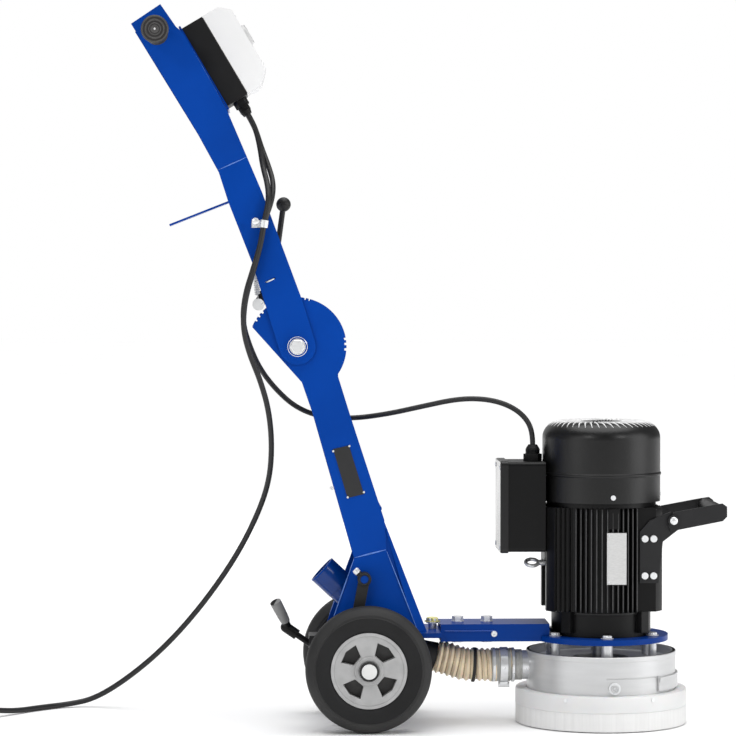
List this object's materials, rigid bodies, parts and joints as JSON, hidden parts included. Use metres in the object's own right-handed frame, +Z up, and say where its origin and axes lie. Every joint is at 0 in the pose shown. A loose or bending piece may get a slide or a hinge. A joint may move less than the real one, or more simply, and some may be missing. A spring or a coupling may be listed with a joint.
{
  "type": "concrete floor grinder",
  "caption": "Walk-behind single-disc floor grinder with a folding handle, two transport wheels, a vertical electric motor and a shrouded, dust-extracted grinding head.",
  "frame": {"origin": "on the floor, under the middle of the machine's bounding box without its mains cord", "axes": "+Z up, +X towards the grinding head, -Y is the side that the label plate faces"},
  "size_m": [1.3542, 0.3895, 1.147],
  "materials": {
    "blue_paint": "satin",
    "black_paint": "satin",
    "motor_black": "satin",
    "zinc": "zinc plated",
    "steel": "machined",
    "iron": "laminated",
    "segment": "sintered",
    "cast_aluminium": "cast and turned",
    "label": "matte",
    "nameplate": "satin",
    "black_rubber": "matte",
    "black_plastic": "matte",
    "grey_plastic": "satin",
    "white_plastic": "satin",
    "hose": "translucent",
    "tyre": "matte",
    "cable": "matte"
  },
  "bodies": {
    "chassis": {"side_plates": "blue_paint", "front_web": "blue_paint", "base_plate": "blue_paint", "beam_channel": "blue_paint", "motor_plate": "blue_paint", "beam_bolts": "zinc", "axle_brackets": "black_paint", "stub_axles": "zinc", "label_plate": "label", "dust_port": "blue_paint", "dust_elbow": "black_rubber", "dust_hose": "hose", "hose_clamp": "zinc", "pivot_bolt": "zinc", "head_housing": "cast_aluminium", "dust_skirt": "white_plastic", "housing_bolts": "zinc", "dust_spigot": "zinc", "motor_frame": "motor_black", "end_shields": "motor_black", "motor_bearings": "steel", "stator": "iron", "fan_cover": "motor_black", "motor_screws": "zinc", "nameplate": "nameplate", "terminal_box": "motor_black", "terminal_lid": "motor_black", "motor_gland": "black_plastic", "eyebolt": "zinc", "lift_bracket": "black_paint", "power_cord": "cable", "motor_lead": "cable", "cord_coil": "cable", "mains_plug": "cable"},
    "rotor": {"motor_shaft": "steel", "rotor_core": "iron", "cooling_fan": "black_plastic", "drive_hub": "steel", "grinding_disc": "steel", "diamond_segments": "segment"},
    "shutter": {"edge_shutter": "cast_aluminium"},
    "wheel_near": {"wheel_rim_near": "grey_plastic", "tyre_near": "tyre"},
    "wheel_far": {"wheel_rim_far": "grey_plastic", "tyre_far": "tyre"},
    "lift_handle": {"lift_handle": "black_paint"},
    "near_lever": {"clamp_lever_near": "black_paint"},
    "rear_lever": {"clamp_lever_rear": "black_paint"},
    "handle": {"arm_plates": "blue_paint", "handlebar": "steel", "handlebar_grips": "black_rubber", "arm_web": "blue_paint", "hook_plate": "blue_paint", "switch_base": "black_plastic", "switch_cover": "white_plastic", "switch_glands": "black_plastic", "cord_clip": "zinc"},
    "release": {"release_lever": "black_paint", "lock_bar": "zinc"},
    "knob": {"switch_knob": "grey_plastic"}
  },
  "joints": [
    {"name": "disc_spin", "type": "hinge", "parent": "chassis", "child": "rotor", "pos_m": [0.28, 0, 0.2], "axis": [0, 0, 1], "continuous": true},
    {"name": "shutter_slide", "type": "hinge", "parent": "chassis", "child": "shutter", "pos_m": [0.28, 0, 0.07], "axis": [0, 0, 1], "range_deg": [-30, 0]},
    {"name": "wheel_near_spin", "type": "hinge", "parent": "chassis", "child": "wheel_near", "pos_m": [-0.1, -0.115, 0.1], "axis": [0, 1, 0], "continuous": true},
    {"name": "wheel_far_spin", "type": "hinge", "parent": "chassis", "child": "wheel_far", "pos_m": [-0.1, 0.115, 0.1], "axis": [0, 1, 0], "continuous": true},
    {"name": "lift_handle_fold", "type": "hinge", "parent": "chassis", "child": "lift_handle", "pos_m": [0.3874, 0, 0.33], "axis": [0, 1, 0], "range_deg": [-55, 60]},
    {"name": "near_lever_turn", "type": "hinge", "parent": "chassis", "child": "near_lever", "pos_m": [-0.1054, -0.074, 0.2388], "axis": [0, 1, 0], "range_deg": [-60, 60]},
    {"name": "rear_lever_turn", "type": "hinge", "parent": "chassis", "child": "rear_lever", "pos_m": [-0.193, 0, 0.1291], "axis": [-0.8238, 0, 0.5669], "range_deg": [-40, 40]},
    {"name": "handle_fold", "type": "hinge", "parent": "chassis", "child": "handle", "pos_m": [-0.211, 0, 0.6075], "axis": [0, 1, 0], "range_deg": [-24, 106], "deforming": ["power_cord", "motor_lead"]},
    {"name": "release_pull", "type": "hinge", "parent": "handle", "child": "release", "pos_m": [-0.25, 0, 0.712], "axis": [0, 1, 0], "range_deg": [0, 12], "stiffness_Nm_per_rad": 1, "springref_deg": -20.05},
    {"name": "switch_turn", "type": "hinge", "parent": "handle", "child": "knob", "pos_m": [-0.29278, 0, 1.1038], "axis": [0.8601, 0, 0.5101], "range_deg": [0, 90]}
  ]
}
